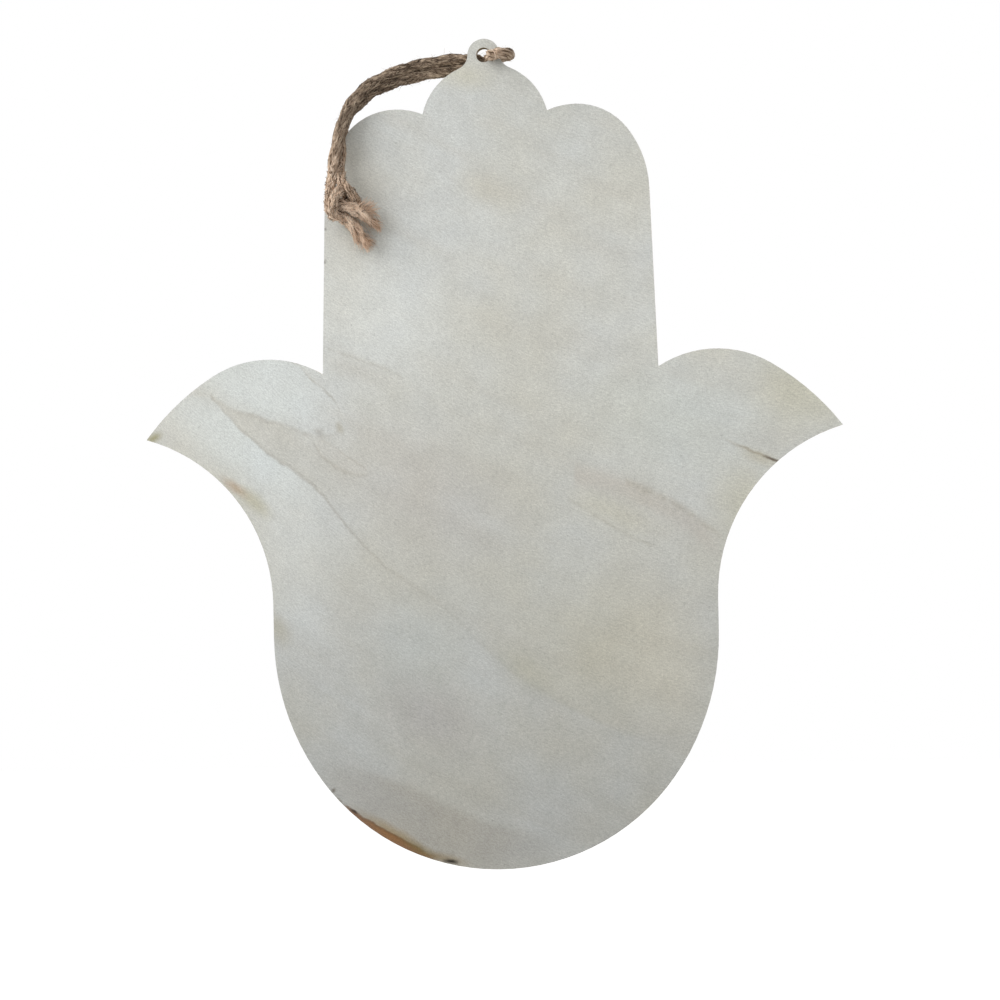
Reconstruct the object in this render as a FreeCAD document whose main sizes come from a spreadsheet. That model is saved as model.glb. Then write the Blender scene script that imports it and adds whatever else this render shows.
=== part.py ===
# Hamsa hand ornament: a flat plywood hand with a hanging ring, and a loop of jute twine.
# Frame: millimetres, origin at the centre of the ring's hole, at half the board's thickness.
# +Z points up along the fingers, the front of the board faces -Y, +X points right.
import FreeCAD, Part
import math
import os
import Sketcher

from FreeCAD import Placement, Rotation, Vector

doc = FreeCAD.newDocument("hamsa_ornament")

# Driving sizes. A drop is a distance below the hole's centre, an offset one from the middle line.
SIZES = {
    # plywood: two thin face veneers on a thicker core
    "face_thickness": 0.6,
    "core_thickness": 1.8,
    # jute twine
    "twine_diameter": 3.5,
    # hanging ring on top of the middle finger, with its hole drilled for the twine
    "hole_clearance": 1.0,
    "ring_wall": 2.65,
    "ring_fillet_radius": 4.5,
    # the three fingers, which end at the notches over the thumbs
    "middle_top_drop": 2.4,
    "middle_radius": 19.4,
    "side_top_drop": 15.7,
    "side_lean_angle": 1.7,
    "fingers_half_width": 50.9,
    # the two curled thumbs: the crest is the thumb's highest point
    "crest_beyond_notch": 17.1,
    "crest_drop": 90.7,
    "thumb_radius": 32.0,
    # palm: a straight flank under each thumb, and a heel that is nearly half an ellipse
    "palm_half_width": 67.4,
    "flank_length": 10.1,
    "heel_depth": 70.9,
    # the twine's fold round the ring, and its two legs where they leave it side by side
    "ring_fold_radius": 3.5,
    "leg_gap": 0.2,
    "seam_slope_angle": 10.7,
    "seam_straight": 4.0,
    # knot: a barrel of tightened twine with one slanting turn round it
    "knot_length": 11.4,
    "knot_radius": 3.7,
    "knot_bulge": 1.3,
    "knot_lean_angle": 12.0,
    "knot_turn_radius": 2.9,
    "knot_turn_slant_angle": 30.0,
}

# Arcs and points of the outline. Those of a side finger are shares of the fingers' half width,
# those of a thumb shares of its radius.
OUTLINE_SHARES = {
    "side_top_share": 0.538,
    "side_inner_share": 0.432,
    "side_outer_share": 0.385,
    "shoulder_share": 0.609,
    "thumb_back_share": 2.375,
    "thumb_under_share": 1.656,
    "tip_reach_share": 1.175,
    "tip_fall_share": 0.741,
}

# Share of the shorter run that an arc of the twine's path takes up at each of its ends.
CORNER_SHARE = 0.45

sheet = doc.addObject("Spreadsheet::Sheet", "Sizes")
for row, (alias, value) in enumerate({**SIZES, **OUTLINE_SHARES}.items(), start=1):
    sheet.set(f"A{row}", alias)
    sheet.set(f"B{row}", str(value))
    sheet.setAlias(f"B{row}", alias)
doc.recompute()


def size(alias):
    """The value of one driving size or share, read from the sheet."""
    return float(sheet.get(alias))


# Outline of the hand: plane geometry in X and Z
def ring_radius():
    return (size("twine_diameter") + size("hole_clearance")) / 2 + size("ring_wall")


def unit(p):
    length = math.hypot(p[0], p[1])
    return (p[0] / length, p[1] / length)


def difference(a, b):
    return (a[0] - b[0], a[1] - b[1])


def along(start, direction, distance):
    return (start[0] + distance * direction[0], start[1] + distance * direction[1])


def circle_cross(centre_a, radius_a, centre_b, radius_b, side):
    """Where two circles cross: side 1 is left of the way from a to b, side -1 right of it."""
    way = difference(centre_b, centre_a)
    gap = math.hypot(way[0], way[1])
    near = (gap ** 2 + radius_a ** 2 - radius_b ** 2) / (2 * gap)
    ahead = unit(way)
    foot = along(centre_a, ahead, near)
    return along(foot, (-ahead[1], ahead[0]), side * math.sqrt(radius_a ** 2 - near ** 2))


def line_cross(point, direction, centre, radius):
    """The first crossing of a line, followed along its direction, with a circle."""
    back = difference(point, centre)
    half = back[0] * direction[0] + back[1] * direction[1]
    rest = back[0] ** 2 + back[1] ** 2 - radius ** 2
    return along(point, direction, -half - math.sqrt(half ** 2 - rest))


def half_outline():
    """The right half, from the ring down to the bottom, as a chain of arcs and straight lines.

    Each entry is (name, centre, radius, first point, last point, clockwise). A line has no centre.
    """
    hole = (0.0, 0.0)
    ring = ring_radius()
    fillet = size("ring_fillet_radius")
    middle = size("middle_radius")
    middle_centre = (0.0, -size("middle_top_drop") - middle)
    fillet_centre = circle_cross(hole, ring + fillet, middle_centre, middle + fillet, 1)
    ring_end = along(hole, unit(fillet_centre), ring)
    middle_start = along(middle_centre, unit(difference(fillet_centre, middle_centre)), middle)

    notch_x = size("fingers_half_width")
    inner = notch_x * size("side_inner_share")
    outer = notch_x * size("side_outer_share")
    side_top = (notch_x * size("side_top_share"), -size("side_top_drop"))
    inner_centre = along(side_top, (0.0, -1.0), inner)
    outer_centre = along(side_top, (0.0, -1.0), outer)
    valley = circle_cross(middle_centre, middle, inner_centre, inner, 1)

    thumb = size("thumb_radius")
    reach = size("crest_beyond_notch")
    thumb_centre = (notch_x + reach, -size("crest_drop") - thumb)
    notch = (notch_x, thumb_centre[1] + math.sqrt(thumb ** 2 - reach ** 2))

    lean = math.radians(size("side_lean_angle"))
    up = (-math.sin(lean), math.cos(lean))
    inward = (-math.cos(lean), -math.sin(lean))
    shoulder = notch_x * size("shoulder_share")
    shoulder_centre = line_cross(along(notch, inward, shoulder), up, outer_centre, shoulder - outer)
    shoulder_start = along(shoulder_centre, unit(difference(outer_centre, shoulder_centre)), shoulder)
    shoulder_end = along(shoulder_centre, inward, -shoulder)

    back = thumb * size("thumb_back_share")
    tip = (
        thumb_centre[0] + thumb * size("tip_reach_share"),
        -size("crest_drop") - thumb * size("tip_fall_share"),
    )
    back_centre = circle_cross(thumb_centre, back - thumb, tip, back, -1)
    back_start = along(back_centre, unit(difference(thumb_centre, back_centre)), back)

    under = thumb * size("thumb_under_share")
    palm = size("palm_half_width")
    under_centre_x = palm + under
    flank_top = (palm, tip[1] - math.sqrt(under ** 2 - (under_centre_x - tip[0]) ** 2))
    flank_bottom = along(flank_top, (0.0, -1.0), size("flank_length"))

    # The heel's two arcs curve as half an ellipse does, at its side and at its lowest point.
    heel = size("heel_depth")
    hip = heel ** 2 / palm
    hip_centre = along(flank_bottom, (-1.0, 0.0), hip)
    bottom = (0.0, flank_bottom[1] - heel)
    over = hip - heel
    rise = (over ** 2 - hip_centre[0] ** 2) / (2 * over)
    bottom_centre = (0.0, flank_bottom[1] + rise)
    bottom_radius = heel + rise
    centres = (bottom_centre, hip_centre) if hip > bottom_radius else (hip_centre, bottom_centre)
    hip_end = along(hip_centre, unit(difference(*centres)), hip)

    return [
        ("ring_fillet", fillet_centre, fillet, ring_end, middle_start, False),
        ("middle", middle_centre, middle, middle_start, valley, True),
        ("side_inner", inner_centre, inner, valley, side_top, True),
        ("side_outer", outer_centre, outer, side_top, shoulder_start, True),
        ("shoulder", shoulder_centre, shoulder, shoulder_start, shoulder_end, True),
        ("side", None, None, shoulder_end, notch, True),
        ("thumb_top", thumb_centre, thumb, notch, back_start, True),
        ("thumb_back", back_centre, back, back_start, tip, True),
        ("thumb_under", (under_centre_x, flank_top[1]), under, tip, flank_top, False),
        ("flank", None, None, flank_top, flank_bottom, True),
        ("hip", hip_centre, hip, flank_bottom, hip_end, True),
        ("bottom", bottom_centre, bottom_radius, hip_end, bottom, True),
    ]


# Places of a point on a sketch's line or arc, and of the sketch's own origin.
FIRST, LAST, CENTRE = 1, 2, 3
ORIGIN = (-1, 1)


class OutlineSketch:
    """One sketch of the hand, with its sizes bound to the sheet."""

    def __init__(self, body, name):
        self.sketch = body.newObject("Sketcher::SketchObject", name)
        plane = next(f for f in body.Origin.OriginFeatures if f.Role == "XZ_Plane")
        self.sketch.AttachmentSupport = [(plane, "")]
        self.sketch.MapMode = "FlatFace"
        self.count = 0

    def arc(self, centre, radius, first, last, clockwise):
        """An arc, given back as (geometry, place of its first point, place of its last point)."""
        ends = (last, first) if clockwise else (first, last)
        turns = [math.atan2(p[1] - centre[1], p[0] - centre[0]) for p in ends]
        if turns[1] < turns[0]:
            turns[1] += 2 * math.pi
        circle = Part.Circle(Vector(centre[0], centre[1], 0), Vector(0, 0, 1), radius)
        index = self.sketch.addGeometry(Part.ArcOfCircle(circle, turns[0], turns[1]), False)
        return (index, LAST, FIRST) if clockwise else (index, FIRST, LAST)

    def line(self, first, last):
        ends = [Vector(p[0], p[1], 0) for p in (first, last)]
        return (self.sketch.addGeometry(Part.LineSegment(*ends), False), FIRST, LAST)

    def rule(self, *words):
        self.sketch.addConstraint(Sketcher.Constraint(*words))

    def bind(self, formula, kind, *where):
        """A dimension with a name of its own that follows a formula of the sheet's sizes."""
        value = float(self.sketch.evalExpression(formula))
        value = math.radians(value) if kind == "Angle" else value
        index = self.sketch.addConstraint(Sketcher.Constraint(kind, *where, value))
        self.count += 1
        name = f"{kind}_{self.count}"
        self.sketch.renameConstraint(index, name)
        self.sketch.setExpression(f"Constraints.{name}", formula)

    def pin_offset(self, point, formula, side):
        """Holds a point right (side 1) or left (side -1) of the middle line."""
        order = ORIGIN + point if side > 0 else point + ORIGIN
        self.bind(formula, "DistanceX", *order)

    def pin_drop(self, point, formula):
        self.bind(formula, "DistanceY", *point, *ORIGIN)

    def on_middle_line(self, point):
        self.rule("PointOnObject", *point, -2)

    def hole(self, formula):
        """A round hole at the sketch's origin, with its radius from the sheet."""
        radius = float(self.sketch.evalExpression(formula))
        circle = self.sketch.addGeometry(Part.Circle(Vector(0, 0, 0), Vector(0, 0, 1), radius), False)
        self.rule("Coincident", circle, CENTRE, *ORIGIN)
        self.bind(formula, "Radius", circle)


# Radius of each arc of the outline, and places that more than one rule of the sketch needs.
ARC_RADII = {
    "ring_fillet": "Sizes.ring_fillet_radius",
    "middle": "Sizes.middle_radius",
    "side_inner": "Sizes.fingers_half_width * Sizes.side_inner_share",
    "side_outer": "Sizes.fingers_half_width * Sizes.side_outer_share",
    "shoulder": "Sizes.fingers_half_width * Sizes.shoulder_share",
    "thumb_top": "Sizes.thumb_radius",
    "thumb_back": "Sizes.thumb_radius * Sizes.thumb_back_share",
    "thumb_under": "Sizes.thumb_radius * Sizes.thumb_under_share",
    "hip": "Sizes.heel_depth ^ 2 / Sizes.palm_half_width",
}
RING_RADIUS = "(Sizes.twine_diameter + Sizes.hole_clearance) / 2 + Sizes.ring_wall"
SIDE_TOP_OFFSET = "Sizes.fingers_half_width * Sizes.side_top_share"
CREST_OFFSET = "Sizes.fingers_half_width + Sizes.crest_beyond_notch"


def draw_half(drawing, side, ring):
    """One half of the outline, joined to the ring's arc: side 1 is the right half, -1 the left."""
    made = {}
    for name, centre, radius, first, last, clockwise in half_outline():
        first, last = ((side * p[0], p[1]) for p in (first, last))
        if centre is None:
            made[name] = drawing.line(first, last)
        else:
            centre = (side * centre[0], centre[1])
            made[name] = drawing.arc(centre, radius, first, last, clockwise == (side > 0))

    def start(name):
        return (made[name][0], made[name][1])

    def end(name):
        return (made[name][0], made[name][2])

    def centre_of(name):
        return (made[name][0], CENTRE)

    def smooth(before, after):
        drawing.rule("Tangent", *end(before), *start(after))

    def corner(before, after):
        drawing.rule("Coincident", *end(before), *start(after))

    for name, radius in ARC_RADII.items():
        drawing.bind(radius, "Radius", made[name][0])

    # ring to middle finger
    drawing.rule("Tangent", ring[0], ring[2] if side > 0 else ring[1], *start("ring_fillet"))
    smooth("ring_fillet", "middle")
    drawing.on_middle_line(centre_of("middle"))
    drawing.pin_drop(centre_of("middle"), "Sizes.middle_top_drop + Sizes.middle_radius")
    corner("middle", "side_inner")

    # side finger
    for place in (centre_of("side_inner"), centre_of("side_outer"), end("side_inner")):
        drawing.pin_offset(place, SIDE_TOP_OFFSET, side)
    drawing.pin_drop(end("side_inner"), "Sizes.side_top_drop")
    corner("side_inner", "side_outer")
    smooth("side_outer", "shoulder")
    smooth("shoulder", "side")
    lean = "-90 + Sizes.side_lean_angle" if side > 0 else "-90 - Sizes.side_lean_angle"
    drawing.bind(f"({lean}) * 1 deg", "Angle", made["side"][0])

    # thumb
    corner("side", "thumb_top")
    drawing.pin_offset(start("thumb_top"), "Sizes.fingers_half_width", side)
    drawing.pin_offset(centre_of("thumb_top"), CREST_OFFSET, side)
    drawing.pin_drop(centre_of("thumb_top"), "Sizes.crest_drop + Sizes.thumb_radius")
    smooth("thumb_top", "thumb_back")
    tip = end("thumb_back")
    drawing.pin_offset(tip, f"{CREST_OFFSET} + Sizes.thumb_radius * Sizes.tip_reach_share", side)
    drawing.pin_drop(tip, "Sizes.crest_drop + Sizes.thumb_radius * Sizes.tip_fall_share")
    corner("thumb_back", "thumb_under")

    # palm
    smooth("thumb_under", "flank")
    drawing.rule("Vertical", made["flank"][0])
    drawing.pin_offset(start("flank"), "Sizes.palm_half_width", side)
    drawing.bind("Sizes.flank_length", "DistanceY", *end("flank"), *start("flank"))
    smooth("flank", "hip")
    smooth("hip", "bottom")
    drawing.on_middle_line(centre_of("bottom"))
    drawing.on_middle_line(end("bottom"))
    drawing.bind("Sizes.heel_depth", "DistanceY", *end("bottom"), *end("flank"))


def veneer(name, thickness, front_depth):
    """One layer of the plywood, cut to the hand's outline, with its front at front_depth."""
    body = doc.addObject("PartDesign::Body", name)
    body.Label = name
    drawing = OutlineSketch(body, name + "_outline")
    ring_right = half_outline()[0][3]
    ring_left = (-ring_right[0], ring_right[1])
    ring = drawing.arc((0.0, 0.0), ring_radius(), ring_left, ring_right, True)
    drawing.rule("Coincident", ring[0], CENTRE, *ORIGIN)
    drawing.bind(RING_RADIUS, "Radius", ring[0])
    draw_half(drawing, 1, ring)
    draw_half(drawing, -1, ring)
    drawing.hole("(Sizes.twine_diameter + Sizes.hole_clearance) / 2")
    doc.recompute()
    if not drawing.sketch.FullyConstrained:
        raise ValueError(f"{name}: the outline isn't fully constrained")
    pad = body.newObject("PartDesign::Pad", name + "_sheet")
    pad.Profile = drawing.sketch
    pad.Reversed = True
    pad.setExpression("Length", thickness)
    body.setExpression(".Placement.Base.y", front_depth)
    return body


# Plywood board, front to back
CORE_BACK = "Sizes.core_thickness / 2"
front_veneer = veneer("front_veneer", "Sizes.face_thickness", f"-{CORE_BACK} - Sizes.face_thickness")
core_veneer = veneer("core_veneer", "Sizes.core_thickness", f"-{CORE_BACK}")
back_veneer = veneer("back_veneer", "Sizes.face_thickness", CORE_BACK)


# Twine: a limp jute cord, folded in two, with its fold round the right side of the ring
def tube(name, points, folds=()):
    """A round cord along straight runs joined by arcs. A point in folds turns at the ring's radius."""
    radius = size("twine_diameter") / 2
    folded = [p in folds for p in points[1:-1]]
    points = [Vector(*p) for p in points]
    edges = []
    radii = []
    at = points[0]
    for before, corner, after, is_fold in zip(points, points[1:], points[2:], folded):
        back = before - corner
        ahead = after - corner
        half_turn = (math.pi - back.getAngle(ahead)) / 2
        run = min(back.Length, ahead.Length)
        bend = CORNER_SHARE * run / math.tan(half_turn)
        if is_fold:
            bend = min(bend, size("ring_fold_radius"))
        radii.append(bend)
        cut = bend * math.tan(half_turn)
        back.normalize()
        ahead.normalize()
        start = corner + back * cut
        end = corner + ahead * cut
        middle = (back + ahead).normalize() * (bend / math.cos(half_turn) - bend) + corner
        edges.append(Part.LineSegment(at, start).toShape())
        edges.append(Part.Arc(start, middle, end).toShape())
        at = end
    edges.append(Part.LineSegment(at, points[-1]).toShape())
    path = Part.Wire(edges)
    ring = Part.Wire(Part.makeCircle(radius, points[0], points[1] - points[0]))
    solid = path.makePipeShell([ring], True, False)
    item = doc.addObject("Part::Feature", name)
    item.Label = name
    item.Shape = solid
    expected = math.pi * radius ** 2 * path.Length
    print(f"{name}: length {path.Length:.1f} mm, volume {solid.Volume:.1f} mm3,"
          f" section times length {expected:.1f} mm3")
    print("  bend radii", [round(r, 1) for r in radii])
    return item


# Seam: both legs leave the ring side by side there, and the loop swings about their middle.
SEAM = Vector(-11.5, 4.0, -2.9)
slope = math.radians(size("seam_slope_angle"))
outward = Vector(-math.cos(slope), 0, -math.sin(slope))
across = Vector(-math.sin(slope), 0, math.cos(slope))
leg_spacing = size("twine_diameter") + size("leg_gap")
upper_seam = SEAM + across * (leg_spacing / 2)
lower_seam = SEAM - across * (leg_spacing / 2)
lead = outward * size("seam_straight")

# The fold: behind the ring, forward through the hole, round the ring's right side, back and left.
RING_FOLDS = [
    (0.25, 4.0, -0.15),
    (0.25, -5.1, -0.15),
    (7.6, -5.1, 0.1),
    (7.6, 4.3, -1.2),
]
FOLD_END = (0.6, 4.0, -4.15)
twine_bight = tube(
    "twine_bight",
    [upper_seam, upper_seam - lead, *RING_FOLDS, FOLD_END, lower_seam - lead, lower_seam],
    folds=RING_FOLDS,
)

# The legs: left over the gap between the fingers, forward past the board's edge, down its front.
UPPER_LEG = [
    (-22.4, 3.1, -2.7),
    (-28.9, 1.1, -4.5),
    (-35.0, -1.7, -7.2),
    (-40.0, -4.5, -11.5),
    (-43.3, -6.7, -17.4),
    (-45.0, -7.3, -24.1),
    (-46.2, -6.6, -30.6),
    (-46.5, -6.8, -35.2),
    (-46.2, -7.3, -39.3),
]
LOWER_LEG = [
    (-21.9, 3.7, -7.1),
    (-28.2, 2.5, -8.1),
    (-33.4, 0.8, -9.7),
    (-38.2, -1.0, -12.8),
    (-42.2, -3.0, -17.7),
    (-43.7, -3.8, -24.2),
    (-43.5, -3.7, -30.6),
    (-43.4, -4.0, -35.3),
    (-43.7, -4.6, -39.3),
]
twine_leg_upper = tube("twine_leg_upper", [upper_seam, upper_seam + lead, *UPPER_LEG])
twine_leg_lower = tube("twine_leg_lower", [lower_seam, lower_seam + lead, *LOWER_LEG])

# The two cut ends, from inside the knot down to the right across the board's front.
UPPER_TAIL = [
    (-43.2, -6.6, -42.0),
    (-40.0, -6.3, -43.6),
    (-36.0, -5.3, -46.7),
    (-32.0, -4.2, -50.2),
]
LOWER_TAIL = [
    (-43.6, -5.9, -46.0),
    (-41.6, -5.4, -48.9),
    (-38.9, -4.6, -52.9),
    (-36.0, -4.0, -56.4),
]
twine_tail_upper = tube("twine_tail_upper", UPPER_TAIL)
twine_tail_lower = tube("twine_tail_lower", LOWER_TAIL)

# Knot that ties both legs together: a barrel, and one slanting turn of twine round its waist.
KNOT = Vector(-44.1, -6.6, -42.8)


def tight_knot(name, place):
    body = doc.addObject("PartDesign::Body", name)
    body.Label = name
    half = size("knot_length") / 2
    waist = size("knot_radius")
    bulge = size("knot_bulge")
    end = waist - bulge
    upper_edge = Vector(end, half, 0)
    lower_edge = Vector(end, -half, 0)
    upper_pole = Vector(0, half, 0)
    lower_pole = Vector(0, -half, 0)

    profile = body.newObject("Sketcher::SketchObject", name + "_profile")
    plane = next(f for f in body.Origin.OriginFeatures if f.Role == "XZ_Plane")
    profile.AttachmentSupport = [(plane, "")]
    profile.MapMode = "FlatFace"
    for edge in (
        Part.LineSegment(upper_pole, upper_edge),
        Part.Arc(lower_edge, Vector(waist, 0, 0), upper_edge),
        Part.LineSegment(lower_edge, lower_pole),
        Part.LineSegment(lower_pole, upper_pole),
    ):
        profile.addGeometry(edge, False)
    lid, barrel, base, axle = range(4)
    for words in (
        ("Coincident", lid, LAST, barrel, LAST),
        ("Coincident", barrel, FIRST, base, FIRST),
        ("Coincident", base, LAST, axle, FIRST),
        ("Coincident", axle, LAST, lid, FIRST),
        ("PointOnObject", axle, FIRST, -2),
        ("PointOnObject", axle, LAST, -2),
        ("Symmetric", barrel, FIRST, barrel, LAST, -1),
        ("Horizontal", lid),
        ("Horizontal", base),
    ):
        profile.addConstraint(Sketcher.Constraint(*words))
    rise = "Sizes.knot_bulge"
    curve = (half ** 2 + bulge ** 2) / (2 * bulge)
    for words, formula in (
        (("DistanceY", axle, FIRST, axle, LAST, 2 * half), "Sizes.knot_length"),
        (("DistanceX", lid, FIRST, lid, LAST, end), f"Sizes.knot_radius - {rise}"),
        (("Radius", barrel, curve), f"(Sizes.knot_length ^ 2 / 4 + {rise} ^ 2) / (2 * {rise})"),
    ):
        index = profile.addConstraint(Sketcher.Constraint(*words))
        profile.setExpression(f"Constraints[{index}]", formula)
    doc.recompute()

    barrel_body = body.newObject("PartDesign::Revolution", name + "_barrel")
    barrel_body.Profile = profile
    barrel_body.ReferenceAxis = (profile, ["V_Axis"])
    barrel_body.Angle = 360
    doc.recompute()

    turn = body.newObject("PartDesign::AdditiveTorus", name + "_turn")
    flat_plane = next(f for f in body.Origin.OriginFeatures if f.Role == "XY_Plane")
    turn.AttachmentSupport = [(flat_plane, "")]
    turn.MapMode = "FlatFace"
    turn.AttachmentOffset = Placement(Vector(), Rotation(Vector(0, 1, 0), size("knot_turn_slant_angle")))
    turn.setExpression("Radius1", "Sizes.knot_turn_radius")
    turn.setExpression("Radius2", "Sizes.twine_diameter / 2")

    body.Placement = Placement(place, Rotation(Vector(0, 1, 0), -size("knot_lean_angle")))
    return body


twine_knot = tight_knot("twine_knot", KNOT)

# Every piece in its own node
PIECES = [
    front_veneer,
    core_veneer,
    back_veneer,
    twine_bight,
    twine_leg_upper,
    twine_leg_lower,
    twine_knot,
    twine_tail_upper,
    twine_tail_lower,
]
doc.recompute()
for item in doc.Objects:
    if "Invalid" in item.State or "Error" in item.State:
        raise ValueError(f"{item.Label} failed: {item.State}")
os.makedirs("parts", exist_ok=True)
for piece in PIECES:
    shape = piece.Shape
    if shape.isNull() or not shape.isValid() or len(shape.Solids) != 1:
        raise ValueError(f"{piece.Label} is not one valid solid")
    shape.exportStep(f"parts/{piece.Label}.step")
    print(f"{piece.Label}: volume {shape.Volume:.1f} mm3, box {shape.BoundBox}")
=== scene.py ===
# Hamsa hand ornament: a flat hand of thin plywood that hangs from a doubled jute twine.
# Lengths in the tables are in millimetres and become metres when they are used.
import math
import random

import bpy
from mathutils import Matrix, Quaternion, Vector


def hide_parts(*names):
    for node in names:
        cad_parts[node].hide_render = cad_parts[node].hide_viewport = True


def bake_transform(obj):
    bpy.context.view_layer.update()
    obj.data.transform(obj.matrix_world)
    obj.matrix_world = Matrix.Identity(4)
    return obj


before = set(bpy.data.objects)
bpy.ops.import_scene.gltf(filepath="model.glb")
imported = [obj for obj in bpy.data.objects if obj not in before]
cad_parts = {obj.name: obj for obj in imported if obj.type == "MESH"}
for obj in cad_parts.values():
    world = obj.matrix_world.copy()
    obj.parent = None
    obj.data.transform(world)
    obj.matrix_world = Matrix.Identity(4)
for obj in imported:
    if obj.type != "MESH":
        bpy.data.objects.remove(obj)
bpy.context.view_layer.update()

# The twine is one length of three-ply jute, passed through the ring and folded in two.
# Its two halves leave the ring side by side, share one overhand knot and end in two cut tails.
MM = 0.001
PLY_COUNT = 3
PLY_RADIUS = 0.90
PLY_OFFSET = 0.87
PLY_SIDES = 26
RING_STEP = 0.3

BIGHT_JOIN = (7.7, -0.4, -0.2)
UPPER_ROUTE = [
    BIGHT_JOIN, (8.0, -5.1, -0.3), (2.2, -5.0, -0.5), (0.4, 4.0, -1.0), (-8.0, 3.8, 0.1),
    (-16.3, 3.8, -0.8), (-22.9, 3.0, -2.1), (-29.2, 1.1, -4.6), (-34.8, -1.7, -7.8),
    (-39.1, -4.5, -12.3), (-42.1, -6.7, -18.1), (-43.9, -7.3, -24.6), (-45.4, -6.9, -31.0),
    (-45.7, -7.3, -35.4), (-46.4, -8.1, -39.4), (-46.9, -8.7, -43.2), (-46.8, -8.1, -46.6),
    (-46.4, -5.6, -48.2), (-44.6, -3.4, -47.2), (-42.7, -3.0, -44.6), (-41.7, -4.0, -42.2),
    (-42.2, -6.4, -40.8), (-43.2, -9.3, -40.1), (-44.6, -10.7, -42.6), (-46.0, -10.3, -46.0),
    (-45.4, -8.4, -48.3), (-43.7, -6.0, -48.6), (-41.3, -5.4, -49.4), (-39.1, -4.6, -53.3),
    (-36.2, -4.0, -57.6)]
LOWER_ROUTE = [
    BIGHT_JOIN, (7.3, 4.5, 1.0), (3.9, 4.9, 0.4), (0.2, 4.6, -3.2), (-7.6, 4.7, -2.9),
    (-15.6, 4.7, -3.7), (-22.5, 4.0, -5.0), (-28.7, 2.5, -6.9), (-33.9, 0.8, -9.3), (-38.4, -1.0, -13.1),
    (-42.5, -3.0, -18.2), (-44.0, -3.8, -24.2), (-43.9, -4.6, -30.6), (-44.1, -5.8, -34.6),
    (-43.5, -7.6, -37.6), (-42.0, -8.9, -39.7), (-40.2, -8.3, -42.0), (-38.9, -6.1, -43.6),
    (-39.6, -5.0, -44.4), (-42.4, -5.3, -45.1), (-44.8, -5.8, -45.3), (-45.2, -7.4, -44.6),
    (-43.4, -8.1, -44.8), (-41.0, -7.7, -45.6), (-38.4, -6.7, -46.8), (-35.4, -5.3, -48.6),
    (-32.4, -4.2, -50.8)]

# How much of each half hangs out of the knot as its tail, and how much the knot holds.
UPPER_TAIL = 12.5
UPPER_IN_KNOT = 38.0
LOWER_TAIL = 13.5
LOWER_IN_KNOT = 22.0

# One full turn of the plies: tight in the bight, opened out on the legs.
LAY_AT_RING = 11.5
LAY_ON_LEGS = 26.0
LAY_IN_KNOT = 20.0
# Distances from the fold between which the plies open out and go slack, and the bight grows paler
# and then dark again.
LAY_OPENS = (14.0, 24.0)
PLIES_SLACKEN = (12.0, 22.0)
BIGHT_PALES = (1.0, 6.0)
BIGHT_DARKENS = (12.0, 18.0)
# The shares by which the knot and the ring's hole press the twine thinner.
KNOT_SQUEEZE = 0.15
HOLE_SQUEEZE = 0.34
BOARD_HALF_THICKNESS = 1.5
# How far the plies part at a cut end, and how they flatten where they are slack.
END_PARTS = 0.40
SLACK_CLOSES = 0.10
SLACK_SWELLS = 0.16
# How pale the twine is at the fold, by the hole and in the knot: 0 is handled, 1 is fresh.
PALE_AT_FOLD = 0.12
PALE_BY_HOLE = 0.38
PALE_IN_KNOT = 0.72


def read_route(name, places):
    """Points along a twine's smooth line, in mm, read from the NURBS curve of its control points."""
    curve = bpy.data.curves.new(name + "_route", "CURVE")
    curve.dimensions = "3D"
    curve.resolution_u = 24
    spline = curve.splines.new("NURBS")
    spline.points.add(len(places) - 1)
    for point, place in zip(spline.points, places):
        point.co = (*place, 1.0)
    spline.order_u = 3
    spline.use_endpoint_u = True
    holder = bpy.data.objects.new(name + "_route", curve)
    bpy.context.scene.collection.objects.link(holder)
    line = bpy.data.meshes.new_from_object(holder)
    points = [vertex.co.copy() for vertex in line.vertices]
    bpy.data.objects.remove(holder)
    bpy.data.curves.remove(curve)
    bpy.data.meshes.remove(line)
    return points


def space_evenly(points, step):
    """The same line with its points a fixed distance apart."""
    spaced = [points[0].copy()]
    left = step
    for start, end in zip(points, points[1:]):
        span = (end - start).length
        covered = 0.0
        while span - covered >= left:
            covered += left
            spaced.append(start.lerp(end, covered / span))
            left = step
        left -= span - covered
    return spaced


def carry_side(points, first_side):
    """Tangent and side vector at each point; the side turns only as far as the line makes it."""
    tangents = [(b - a).normalized() for a, b in zip(points, points[1:])]
    between = [(a + b).normalized() for a, b in zip(tangents, tangents[1:])]
    tangents = [tangents[0], *between, tangents[-1]]
    side = first_side - first_side.dot(tangents[0]) * tangents[0]
    sides = [side.normalized()]
    for here, there, tangent, onward in zip(points, points[1:], tangents, tangents[1:]):
        step = there - here
        mirrored_side = sides[-1] - 2 * step.dot(sides[-1]) / step.length_squared * step
        mirrored_tangent = tangent - 2 * step.dot(tangent) / step.length_squared * step
        turn = onward - mirrored_tangent
        if turn.length_squared > 0:
            mirrored_side = mirrored_side - 2 * turn.dot(mirrored_side) / turn.length_squared * turn
        sides.append(mirrored_side.normalized())
    return tangents, sides


def ease(value, low, high):
    """0 below low, 1 above high and a smooth step between them."""
    share = min(max((value - low) / (high - low), 0.0), 1.0)
    return share * share * (3 - 2 * share)


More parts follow.
